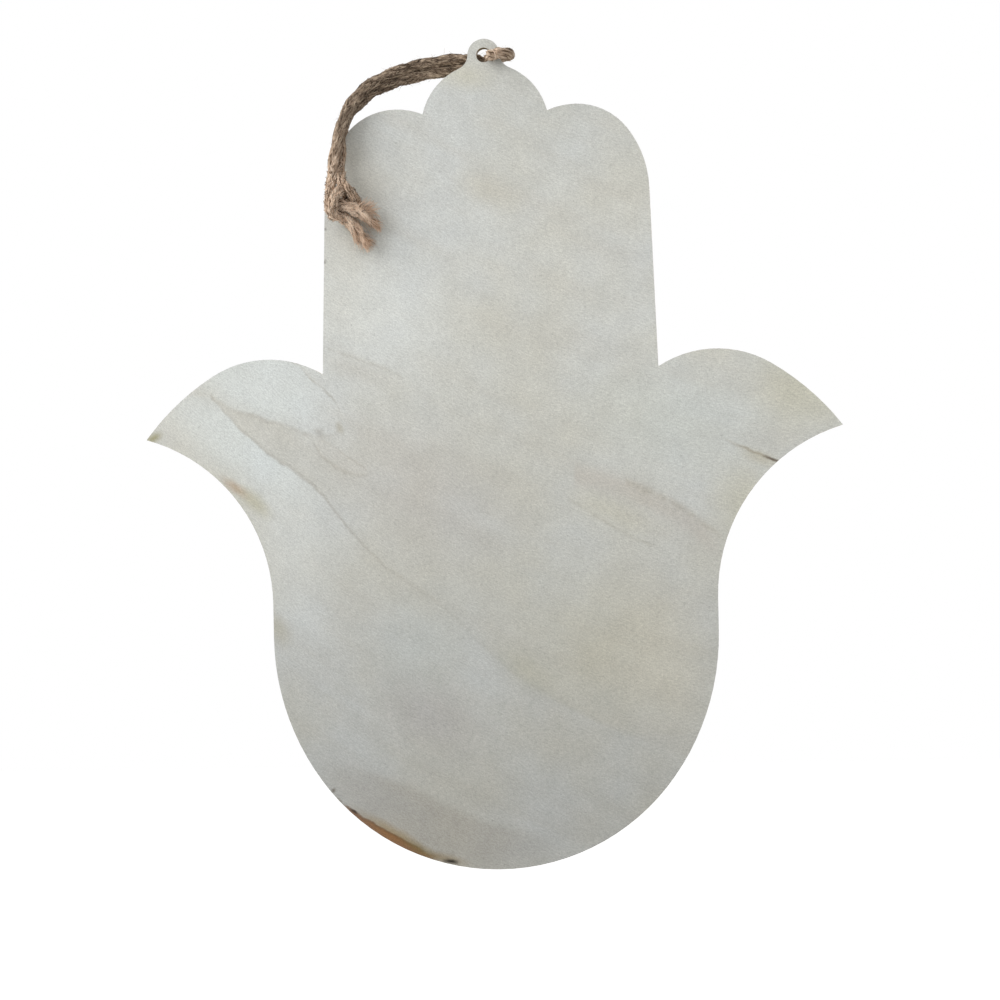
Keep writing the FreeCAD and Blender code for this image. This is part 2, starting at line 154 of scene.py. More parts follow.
class TwineMesh:
    """Faces of the plies and fibres of one twine, with what its material reads at each point."""

    def __init__(self):
        self.points = []
        self.faces = []
        self.fibre_places = []
        self.paleness = []
        self.cut_ends = []
        self.tones = []

    def add_ring(self, places, fibre_places, pale, cut, tone):
        first = len(self.points)
        self.points.extend(places)
        self.fibre_places.extend(fibre_places)
        self.paleness.extend([pale] * len(places))
        self.cut_ends.extend([cut] * len(places))
        self.tones.extend([tone] * len(places))
        return list(range(first, first + len(places)))

    def join_rings(self, ring, next_ring):
        for a, b, c, d in zip(ring, ring[1:] + ring[:1], next_ring[1:] + next_ring[:1], next_ring):
            self.faces.append((a, b, c, d))

    def close_ring(self, ring, at_start):
        self.faces.append(tuple(reversed(ring)) if at_start else tuple(ring))

    def make(self, name):
        mesh = bpy.data.meshes.new(name)
        mesh.from_pydata([MM * place for place in self.points], [], self.faces)
        mesh.attributes.new("fibre_place", "FLOAT_VECTOR", "POINT")
        for read, values in (("pale", self.paleness), ("cut_end", self.cut_ends), ("tone", self.tones)):
            mesh.attributes.new(read, "FLOAT", "POINT")
            mesh.attributes[read].data.foreach_set("value", values)
        for spot, place in zip(mesh.attributes["fibre_place"].data, self.fibre_places):
            spot.vector = place
        mesh.shade_smooth()
        piece = bpy.data.objects.new(name, mesh)
        bpy.context.scene.collection.objects.link(piece)
        return piece


class Twine:
    """One half of the twine: its line, its twist and how tight and pale it is along the way."""

    def __init__(self, name, route, tail, in_knot, first_side, seed):
        self.tail = tail
        self.knot_start = tail + in_knot
        self.points = space_evenly(read_route(name, route), RING_STEP)
        self.tangents, self.sides = carry_side(self.points, first_side)
        self.length = RING_STEP * (len(self.points) - 1)
        self.random = random.Random(seed)
        self.turns = [0.0]
        for index in range(1, len(self.points)):
            self.turns.append(self.turns[-1] + RING_STEP / self.lay(index))

    def from_end(self, index):
        return self.length - RING_STEP * index

    def lay(self, index):
        """Length of one full turn of the plies at a point."""
        along = RING_STEP * index
        on_leg = ease(along, *LAY_OPENS)
        in_knot = 1.0 - ease(self.from_end(index), self.knot_start, self.knot_start + 8.0)
        lay = LAY_AT_RING + (LAY_ON_LEGS - LAY_AT_RING) * on_leg
        return lay + (LAY_IN_KNOT - lay) * in_knot

    def squeeze(self, index):
        """How much thinner the twine is where the hole and the knot hold it: 1 is its free size."""
        from_end = self.from_end(index)
        inside = ease(from_end, self.tail - 5.0, self.tail + 2.0)
        inside *= 1.0 - ease(from_end, self.knot_start - 3.0, self.knot_start + 5.0)
        place = self.points[index]
        from_hole = math.hypot(place.x, place.z) + max(abs(place.y) - BOARD_HALF_THICKNESS, 0.0)
        in_hole = 1.0 - ease(from_hole, 1.5, 4.5)
        return 1.0 - KNOT_SQUEEZE * inside - HOLE_SQUEEZE * in_hole

    def slack(self, index):
        """1 where the plies have come loose and lie almost side by side, as on the legs and tails."""
        on_leg = ease(RING_STEP * index, *PLIES_SLACKEN)
        on_leg *= ease(self.from_end(index), self.knot_start - 14.0, self.knot_start + 4.0)
        return on_leg + 1.0 - ease(self.from_end(index), self.tail - 6.0, self.tail)

    def pale(self, index):
        """0 on the dark handled legs, paler in the knot and 1 on the tails."""
        from_end = self.from_end(index)
        along = RING_STEP * index
        at_ring = PALE_AT_FOLD + (PALE_BY_HOLE - PALE_AT_FOLD) * ease(along, *BIGHT_PALES)
        at_ring *= 1.0 - ease(along, *BIGHT_DARKENS)
        near_knot = PALE_IN_KNOT * (1.0 - ease(from_end, self.knot_start - 2.0, self.knot_start + 18.0))
        on_tail = 1.0 - ease(from_end, self.tail, self.tail + 5.0)
        return max(at_ring, near_knot, on_tail)

    def ply_sizes(self, index):
        """How far each ply's middle stands off the twine's line, and the ply's radius."""
        loosened = 1.0 - ease(self.from_end(index), 0.0, 10.0)
        squeeze = self.squeeze(index)
        slack = self.slack(index)
        offset = PLY_OFFSET * squeeze * (1.0 + END_PARTS * loosened - SLACK_CLOSES * slack)
        radius = PLY_RADIUS * squeeze * (1.0 + SLACK_SWELLS * slack)
        return offset, radius

    def outward(self, index, angle):
        """The direction across the twine at an angle round its line."""
        side = self.sides[index]
        third = self.tangents[index].cross(side)
        return math.cos(angle) * side + math.sin(angle) * third

    def surface(self, index, angle):
        """The point of the twine's surface that lies at an angle round its line."""
        offset, radius = self.ply_sizes(index)
        reach = 0.0
        for ply in range(PLY_COUNT):
            apart = angle - math.tau * (self.turns[index] + ply / PLY_COUNT)
            height = offset * math.sin(apart)
            if abs(height) < radius:
                rise = math.sqrt(radius * radius - height * height)
                reach = max(reach, offset * math.cos(apart) + rise)
        return self.points[index] + reach * self.outward(index, angle)


RIDGE_COUNTS = (3, 5, 7, 8, 10, 11)
RIDGE_HEIGHT = 0.19


def make_ridges(source):
    """Coarse fibre bundles round a ply: waves of a whole number round it that wander along it."""
    waves = []
    for count in RIDGE_COUNTS:
        height = source.uniform(0.5, 1.0) * RIDGE_HEIGHT / count
        phase = source.uniform(0, math.tau)
        wander = source.uniform(7, 16)
        start = source.uniform(0, math.tau)
        waves.append((count, height, phase, wander, start))

    def ridge(angle, along):
        return sum(height * math.cos(count * angle + phase + 1.3 * math.sin(along / wander + start))
                   for count, height, phase, wander, start in waves)
    return ridge


# Each ply thickens and thins by a slub, rolls as it winds and narrows to a tip.
SLUB_SHARE = 0.07
SLUB_LENGTH = 2.3
PLY_ROLL = 0.85
TIP_SHARE = 0.28
TIP_LENGTH = 5.0
CUT_LENGTH = 3.5
# Keeps the plies' patterns apart.
FIBRE_PLACE_STEP = 40.0


def lay_plies(twine, mesh, ply_ends):
    """Winds the plies round the twine's line; each ends its own distance before the cut end."""
    for ply, ply_end in enumerate(ply_ends):
        ridge = make_ridges(twine.random)
        slub_start = twine.random.uniform(0, math.tau)
        last = len(twine.points) - 1 - round(ply_end / RING_STEP)
        ring = None
        for index in range(last + 1):
            along = RING_STEP * index
            to_tip = RING_STEP * (last - index)
            offset, radius = twine.ply_sizes(index)
            radius *= 1.0 + SLUB_SHARE * math.sin(along / SLUB_LENGTH + slub_start)
            radius *= TIP_SHARE + (1.0 - TIP_SHARE) * ease(to_tip, -1.0, TIP_LENGTH)
            turn = math.tau * (twine.turns[index] + ply / PLY_COUNT)
            outward = twine.outward(index, turn)
            around = twine.outward(index, turn + math.tau / 4)
            centre = twine.points[index] + offset * outward
            climb = math.tau * offset / twine.lay(index)
            ply_axis = (twine.tangents[index] + climb * around).normalized()
            across = ply_axis.cross(outward).normalized()
            places = []
            fibre_places = []
            for corner in range(PLY_SIDES):
                fibre = math.tau * corner / PLY_SIDES
                angle = fibre - PLY_ROLL * turn
                reach = radius * (1.0 + ridge(fibre, along))
                places.append(centre + reach * (math.cos(angle) * outward + math.sin(angle) * across))
                fibre_places.append((math.cos(fibre), math.sin(fibre), along + FIBRE_PLACE_STEP * ply))
            cut = 1.0 - ease(to_tip, 0.0, CUT_LENGTH)
            next_ring = mesh.add_ring(places, fibre_places, twine.pale(index), cut, 0.0)
            if ring is None:
                mesh.close_ring(next_ring, at_start=True)
            else:
                mesh.join_rings(ring, next_ring)
            ring = next_ring
        mesh.close_ring(ring, at_start=False)


FIBRE_SIDES = 3
FIBRE_TAPER = 0.75


def add_fibre(mesh, source, path, thickness, pale, cut_along, tone_spread=1.0):
    """One loose fibre: a thin tube that narrows to its tip along a path, in a shade of its own."""
    mark = source.uniform(0, 300)
    tone = source.gauss(0, tone_spread)
    tangents, sides = carry_side(path, Vector((0.31, 0.77, 0.55)))
    ring = None
    for index, (place, tangent, side) in enumerate(zip(path, tangents, sides)):
        share = index / (len(path) - 1)
        radius = thickness * (1.0 - FIBRE_TAPER * share)
        third = tangent.cross(side)
        places = []
        for corner in range(FIBRE_SIDES):
            angle = math.tau * corner / FIBRE_SIDES
            places.append(place + radius * (math.cos(angle) * side + math.sin(angle) * third))
        fibre_places = [(mark, 0.0, 0.4 * index)] * FIBRE_SIDES
        next_ring = mesh.add_ring(places, fibre_places, pale, cut_along * share, tone)
        if ring is None:
            mesh.close_ring(next_ring, at_start=True)
        else:
            mesh.join_rings(ring, next_ring)
        ring = next_ring
    mesh.close_ring(ring, at_start=False)


def any_direction(source):
    """A direction in space, all equally likely."""
    return Vector((source.gauss(0, 1), source.gauss(0, 1), source.gauss(0, 1))).normalized()


def wandering_path(source, start, heading, length, wander, steps):
    """A fibre's path: it sets out along its heading and bends a little at each step."""
    path = [start]
    heading = heading.normalized()
    for _ in range(steps):
        path.append(path[-1] + length / steps * heading)
        heading = (heading + wander * any_direction(source)).normalized()
    return path


# Fibres that lie on the twine take a path point at every second ring, 4 to 11 times.
LYING_STRIDE = 2
LYING_STEPS = (4, 11)
LYING_THICKNESS = (0.08, 0.17)


def add_surface_fibres(twine, mesh, start, count, wander, most_lift, tone_spread):
    """Loose fibres that lie on the twine from a point to its end, almost in line with it, and lift a
    little at their ends."""
    first_ring = round(start / RING_STEP)
    last_ring = round(twine.length / RING_STEP) - LYING_STRIDE * LYING_STEPS[1]
    for _ in range(count):
        steps = twine.random.randrange(LYING_STEPS[0], LYING_STEPS[1] + 1)
        first = twine.random.randrange(first_ring, last_ring)
        angle = twine.random.uniform(0, math.tau)
        drift = twine.random.gauss(0.0, wander)
        lift = twine.random.uniform(0.0, most_lift)
        path = []
        for step in range(steps + 1):
            index = first + LYING_STRIDE * step
            waver = 0.12 * math.sin(1.7 * step + angle)
            place = twine.surface(index, angle + drift * step + waver)
            outward = (place - twine.points[index]).normalized()
            end_lift = lift * (abs(2 * step / steps - 1.0)) ** 3
            path.append(place + (0.01 + end_lift) * outward)
        thickness = twine.random.uniform(*LYING_THICKNESS)
        add_fibre(mesh, twine.random, path, thickness, twine.pale(first + steps), 0.0, tone_spread)


FUZZ_FROM_LINE = 1.35
FUZZ_LENGTH = (1.0, 3.4)
FUZZ_THICKNESS = (0.035, 0.06)
FUZZ_LEAST_PALE = 0.45


def add_fuzz(twine, mesh, count):
    """Short hairs that stand off the twine all along it."""
    for _ in range(count):
        index = twine.random.randrange(len(twine.points) - 12)
        outward = twine.outward(index, twine.random.uniform(0, math.tau))
        start = twine.points[index] + FUZZ_FROM_LINE * twine.squeeze(index) * outward
        lean = twine.random.choice((-1.0, 1.0)) * twine.random.uniform(0.5, 1.6)
        heading = lean * twine.tangents[index] + 0.55 * outward + 0.35 * any_direction(twine.random)
        length = twine.random.uniform(*FUZZ_LENGTH)
        path = wandering_path(twine.random, start, heading, length, 0.22, 5)
        pale = max(twine.pale(index), FUZZ_LEAST_PALE)
        add_fibre(mesh, twine.random, path, twine.random.uniform(*FUZZ_THICKNESS), pale, 0.0)


FRAY_LENGTH = 5.5
FRAY_THICKNESS = (0.06, 0.13)


def add_frayed_end(twine, mesh, ply_ends, fibre_count, fan):
    """The brush of fibres at a cut end: they leave each ply near its tip and fan out."""
    for ply, ply_end in enumerate(ply_ends):
        for _ in range(fibre_count):
            back = ply_end + 0.3 + FRAY_LENGTH * twine.random.random() ** 1.5
            index = len(twine.points) - 1 - round(back / RING_STEP)
            turn = math.tau * (twine.turns[index] + ply / PLY_COUNT)
            outward = twine.outward(index, turn)
            inside_ply = 0.7 * PLY_RADIUS * math.sqrt(twine.random.random()) * any_direction(twine.random)
            start = twine.points[index] + 1.1 * PLY_OFFSET * outward + inside_ply
            heading = twine.tangents[index] + 0.6 * fan * outward + fan * any_direction(twine.random)
            length = back - ply_end + twine.random.uniform(-0.6, 2.0)
            path = wandering_path(twine.random, start, heading, max(length, 0.8), 0.12, 6)
            thickness = twine.random.uniform(*FRAY_THICKNESS)
            add_fibre(mesh, twine.random, path, thickness, 1.0, twine.random.uniform(0.2, 1.0))


TUFT_LENGTH = (2.0, 5.2)
TUFT_THICKNESS = (0.06, 0.14)
TUFT_CUT = 0.45


def add_side_tuft(twine, mesh, from_end, heading, count):
    """A few fibres that have worked out of a tail's side and stand away from it."""
    middle = round((twine.length - from_end) / RING_STEP)
    for _ in range(count):
        index = middle + twine.random.randrange(-8, 5)
        away = (heading + 0.42 * any_direction(twine.random)).normalized()
        start = twine.points[index] + 0.8 * away
        path = wandering_path(twine.random, start, away, twine.random.uniform(*TUFT_LENGTH), 0.14, 6)
        add_fibre(mesh, twine.random, path, twine.random.uniform(*TUFT_THICKNESS), 1.0, TUFT_CUT)


# The plies turn the same way on both halves, so at the ring they run on into each other.
JOIN_SIDE = Vector((1.0, 0.0, 0.0))
upper_twine = Twine("twine_upper", UPPER_ROUTE, UPPER_TAIL, UPPER_IN_KNOT, JOIN_SIDE, 11)
lower_twine = Twine("twine_lower", LOWER_ROUTE, LOWER_TAIL, LOWER_IN_KNOT, JOIN_SIDE, 23)

# How far before its half's cut end each ply ends.
UPPER_PLY_ENDS = (0.6, 0.0, 3.6)
LOWER_PLY_ENDS = (0.0, 1.2, 6.5)
upper_mesh = TwineMesh()
lay_plies(upper_twine, upper_mesh, UPPER_PLY_ENDS)
upper_piece = upper_mesh.make("twine_upper")
lower_mesh = TwineMesh()
lay_plies(lower_twine, lower_mesh, LOWER_PLY_ENDS)
lower_piece = lower_mesh.make("twine_lower")

# For each stretch: how many fibres lie on it, how far they wander and lift, and how much their
# tones differ.
ALL_ALONG = (1300, 0.09, 0.22, 1.0)
IN_KNOT = (500, 0.20, 0.60, 1.9)
ON_TAIL = (260, 0.12, 0.45, 1.9)
BESIDE_KNOT = 4.0
FUZZ_COUNT = 260
END_FIBRES = 150


def make_fibres(twine, ply_ends, fan):
    """All the loose fibres of one half: along it, in the knot, on its tail, as fuzz and at its end."""
    mesh = TwineMesh()
    add_surface_fibres(twine, mesh, 0.0, *ALL_ALONG)
    add_surface_fibres(twine, mesh, twine.length - twine.knot_start - BESIDE_KNOT, *IN_KNOT)
    add_surface_fibres(twine, mesh, twine.length - twine.tail, *ON_TAIL)
    add_fuzz(twine, mesh, FUZZ_COUNT)
    add_frayed_end(twine, mesh, ply_ends, END_FIBRES, fan)
    return mesh


# Two coarse fibres stand off the bight in front of the ring's rim.
STRAY_THICKNESS = 0.13
STRAY_LOOPS = (
    ((2.7, -6.3, 0.7), (3.3, -7.0, 0.3), (3.9, -7.3, -0.7), (4.1, -7.2, -1.8), (3.8, -6.9, -2.7),
     (3.3, -6.4, -3.2)),
    ((4.6, -6.6, 0.9), (4.3, -7.1, 0.2), (4.4, -7.2, -0.8), (4.8, -6.9, -1.8), (5.5, -6.4, -2.4)))
UPPER_FAN = 0.46
upper_fibre_mesh = make_fibres(upper_twine, UPPER_PLY_ENDS, UPPER_FAN)
for stray in STRAY_LOOPS:
    stray_path = [Vector(place) for place in stray]
    add_fibre(upper_fibre_mesh, upper_twine.random, stray_path, STRAY_THICKNESS, 1.0, 0.0)
upper_fibres = upper_fibre_mesh.make("twine_fibres_upper")

LOWER_FAN = 0.34
TUFT_FROM_END = 6.6
TUFT_FIBRES = 150
TUFT_HEADING = Vector((0.9, -0.15, 0.35))
lower_fibre_mesh = make_fibres(lower_twine, LOWER_PLY_ENDS, LOWER_FAN)
add_side_tuft(lower_twine, lower_fibre_mesh, TUFT_FROM_END, TUFT_HEADING, TUFT_FIBRES)
lower_fibres = lower_fibre_mesh.make("twine_fibres_lower")


def linear_colour(hex_code):
    """An sRGB hex colour as the linear colour that a shader takes."""
    channels = [int(hex_code[start:start + 2], 16) / 255 for start in (0, 2, 4)]
    linear = [c / 12.92 if c <= 0.04045 else ((c + 0.055) / 1.055) ** 2.4 for c in channels]
    return (*linear, 1.0)


def new_material(name):
    """A material with an empty node tree."""
    material = bpy.data.materials.new(name)
    material.use_nodes = True
    material.node_tree.nodes.clear()
    return material


def add_node(material, kind, sockets=None, **settings):
    """Adds a node with its settings; a socket's value is a number, a colour or another node's output."""
    node = material.node_tree.nodes.new(kind)
    for name, value in settings.items():
        setattr(node, name, value)
    for socket, value in (sockets or {}).items():
        if isinstance(value, bpy.types.NodeSocket):
            material.node_tree.links.new(value, node.inputs[socket])
        else:
            node.inputs[socket].default_value = value
    return node


TONE_PER_FIBRE = 0.058
# Painted light: how much lighter the tails' fibres are painted, against the knot's shadow and the shade
# between their fibres.
TAIL_PAINTED_LIGHT = 0.05
END_STAIN = 0.7


def jute_twine_material():
    """Spun jute, matt and fibrous: brown where it has been handled, pale tan where freshly pulled into the
    knot, with painted light that lifts the tails lighter still, orange-brown at the cut ends."""
    jute = new_material("spun_jute_matt")
    place = add_node(jute, "ShaderNodeAttribute", attribute_name="fibre_place").outputs["Vector"]
    pale = add_node(jute, "ShaderNodeAttribute", attribute_name="pale").outputs["Fac"]
    cut = add_node(jute, "ShaderNodeAttribute", attribute_name="cut_end").outputs["Fac"]
    tone = add_node(jute, "ShaderNodeAttribute", attribute_name="tone").outputs["Fac"]
    # A jute fibre, 0.1 mm wide, is too fine to show, so bundles of them are drawn, 0.5 mm wide and
    # 2 mm long, within coarser ones 0.8 mm wide and 4 to 5 mm long.
    fibre_scale = add_node(jute, "ShaderNodeMapping", {"Vector": place, "Scale": (1.6, 1.6, 0.55)})
    fibres = add_node(jute, "ShaderNodeTexNoise", {
        "Vector": fibre_scale.outputs[0], "Scale": 1.0, "Detail": 3.0, "Roughness": 0.65})
    bundle_scale = add_node(jute, "ShaderNodeMapping", {"Vector": place, "Scale": (1.1, 1.1, 0.22)})
    bundles = add_node(jute, "ShaderNodeTexNoise", {
        "Vector": bundle_scale.outputs[0], "Scale": 1.0, "Detail": 2.0, "Roughness": 0.5})
    spun_tone = add_node(jute, "ShaderNodeMix", {
        0: 0.35, 2: fibres.outputs[0], 3: bundles.outputs[0]}, data_type="FLOAT")
    fibre_tone = add_node(jute, "ShaderNodeMath", {
        0: tone, 1: TONE_PER_FIBRE, 2: spun_tone.outputs[0]}, operation="MULTIPLY_ADD")
    # Painted light on the tails: their fibres are painted lighter.
    tail_painted_light = add_node(jute, "ShaderNodeMapRange", {0: pale, 1: 0.80, 2: 1.0, 3: 0.0, 4: TAIL_PAINTED_LIGHT})
    fibre_tone = add_node(jute, "ShaderNodeMath", {
        0: fibre_tone.outputs[0], 1: tail_painted_light.outputs[0]}, operation="ADD")
    handled = add_node(jute, "ShaderNodeValToRGB", {0: fibre_tone.outputs[0]})
    handled.color_ramp.elements[0].position = 0.40
    handled.color_ramp.elements[0].color = linear_colour("3c3024")
    handled.color_ramp.elements[1].position = 0.62
    handled.color_ramp.elements[1].color = linear_colour("c2b09a")
    handled.color_ramp.elements.new(0.50).color = linear_colour("867463")
    fresh = add_node(jute, "ShaderNodeValToRGB", {0: fibre_tone.outputs[0]})
    fresh.color_ramp.elements[0].position = 0.40
    fresh.color_ramp.elements[0].color = linear_colour("66513e")
    fresh.color_ramp.elements[1].position = 0.62
    fresh.color_ramp.elements[1].color = linear_colour("f8e4d0")
    fresh.color_ramp.elements.new(0.48).color = linear_colour("ddbfa4")
    colour = add_node(jute, "ShaderNodeMix", {
        0: pale, 6: handled.outputs[0], 7: fresh.outputs[0]}, data_type="RGBA")
    end_colour = add_node(jute, "ShaderNodeMix", {
        0: fibre_tone.outputs[0], 6: linear_colour("86481f"), 7: linear_colour("d3a87e")}, data_type="RGBA")
    end_share = add_node(jute, "ShaderNodeMath", {0: cut, 1: END_STAIN}, operation="MULTIPLY")
    whole_colour = add_node(jute, "ShaderNodeMix", {
        0: end_share.outputs[0], 6: colour.outputs[2], 7: end_colour.outputs[2]}, data_type="RGBA")
    bump = add_node(jute, "ShaderNodeBump", {
        "Height": fibres.outputs[0], "Strength": 0.6, "Distance": 0.12 * MM})
    shader = add_node(jute, "ShaderNodeBsdfPrincipled", {
        "Base Color": whole_colour.outputs[2], "Roughness": 0.85, "IOR": 1.45,
        "Specular IOR Level": 0.3, "Normal": bump.outputs[0]})
    add_node(jute, "ShaderNodeOutputMaterial", {"Surface": shader.outputs[0]})
    return jute


jute = jute_twine_material()
for piece in (upper_piece, lower_piece, upper_fibres, lower_fibres):
    piece.data.materials.append(jute)
    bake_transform(piece)
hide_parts("twine_bight", "twine_leg_upper", "twine_tail_lower")
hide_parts("twine_leg_lower", "twine_knot", "twine_tail_upper")

# The hand is sawn from 3 mm poplar plywood: two thin face veneers and a thicker core, glued and
# sanded bare. The face veneer's grain runs down to the right and flattens towards the right.


def board_place(wood):
    """Place on the board in mm: across, through and up."""
    coordinates = add_node(wood, "ShaderNodeTexCoord").outputs["Object"]
    in_mm = add_node(wood, "ShaderNodeVectorMath", {0: coordinates, "Scale": 1.0 / MM}, operation="SCALE")
    return add_node(wood, "ShaderNodeSeparateXYZ", {0: in_mm.outputs[0]}).outputs


def figure_line(wood, x, z, places, half_width):
    """A soft line of the figure drawn through places from left to right: its strength, 1 on the
    line and 0 beside it, and how far a point lies above it in mm."""
    left, right = places[0][0], places[-1][0]
    low = min(place[1] for place in places)
    high = max(place[1] for place in places)
    share = add_node(wood, "ShaderNodeMapRange", {0: x, 1: left, 2: right})
    height = add_node(wood, "ShaderNodeFloatCurve", {1: share.outputs[0]})
    curve = height.mapping.curves[0]
    for number, (across, up) in enumerate(places):
        spot = ((across - left) / (right - left), (up - low) / (high - low))
        if number in (0, len(places) - 1):
            curve.points[0 if number == 0 else -1].location = spot
        else:
            curve.points.new(*spot)
    height.mapping.update()
    level = add_node(wood, "ShaderNodeMapRange", {0: height.outputs[0], 3: low, 4: high})
    above = add_node(wood, "ShaderNodeMath", {0: z, 1: level.outputs[0]}, operation="SUBTRACT").outputs[0]
    gap = add_node(wood, "ShaderNodeMath", {0: above}, operation="ABSOLUTE")
    near = add_node(wood, "ShaderNodeMapRange", {0: gap.outputs[0], 1: 0.0, 2: half_width, 3: 1.0, 4: 0.0},
                    interpolation_type="SMOOTHSTEP")
    end_fade = (right - left) / 8
    begun = add_node(wood, "ShaderNodeMapRange", {0: x, 1: left - 0.5, 2: left + 0.5})
    ended = add_node(wood, "ShaderNodeMapRange", {0: x, 1: right - end_fade, 2: right, 3: 1.0, 4: 0.0})
    within = add_node(wood, "ShaderNodeMath", {
        0: begun.outputs[0], 1: ended.outputs[0]}, operation="MULTIPLY")
    strength = add_node(wood, "ShaderNodeMath", {
        0: near.outputs[0], 1: within.outputs[0]}, operation="MULTIPLY")
    return strength.outputs[0], above


def soft_patch(wood, x, z, centre, half_length, half_width, lean, edge=1.0):
    """An oval patch of the figure, 1 in its middle and 0 past its rim; edge is how much of it fades."""
    turn = math.radians(lean)
    from_x = add_node(wood, "ShaderNodeMath", {0: x, 1: centre[0]}, operation="SUBTRACT").outputs[0]
    from_z = add_node(wood, "ShaderNodeMath", {0: z, 1: centre[1]}, operation="SUBTRACT").outputs[0]
    rise_along = add_node(wood, "ShaderNodeMath", {0: from_z, 1: math.sin(turn) / half_length},
                          operation="MULTIPLY")
    along = add_node(wood, "ShaderNodeMath", {
        0: from_x, 1: math.cos(turn) / half_length, 2: rise_along.outputs[0]}, operation="MULTIPLY_ADD")
    rise_across = add_node(wood, "ShaderNodeMath", {0: from_z, 1: math.cos(turn) / half_width},
                           operation="MULTIPLY")
    across = add_node(wood, "ShaderNodeMath", {
        0: from_x, 1: -math.sin(turn) / half_width, 2: rise_across.outputs[0]}, operation="MULTIPLY_ADD")
    oval = add_node(wood, "ShaderNodeCombineXYZ", {0: along.outputs[0], 1: across.outputs[0]})
    reach = add_node(wood, "ShaderNodeVectorMath", {0: oval.outputs[0]}, operation="LENGTH")
    return add_node(wood, "ShaderNodeMapRange", {
        0: reach.outputs["Value"], 1: 1.0 - edge, 2: 1.0, 3: 1.0, 4: 0.0},
        interpolation_type="SMOOTHSTEP").outputs[0]


def zone(wood, patch, *sides):
    """The part of a soft patch that lies on one side of each line. A side is the distance above its
    line and how softly the zone ends there, negative for the part below the line."""
    share = patch
    for above, soft in sides:
        under, over = (0.0, 1.0) if soft > 0 else (1.0, 0.0)
        beside = add_node(wood, "ShaderNodeMapRange", {
            0: above, 1: -abs(soft), 2: abs(soft), 3: under, 4: over}, interpolation_type="SMOOTHSTEP")
        share = add_node(wood, "ShaderNodeMath", {
            0: share, 1: beside.outputs[0]}, operation="MULTIPLY").outputs[0]
    return share


# Lines and patches waver by this much, so that no edge is drawn clean.
WOBBLE = 1.3


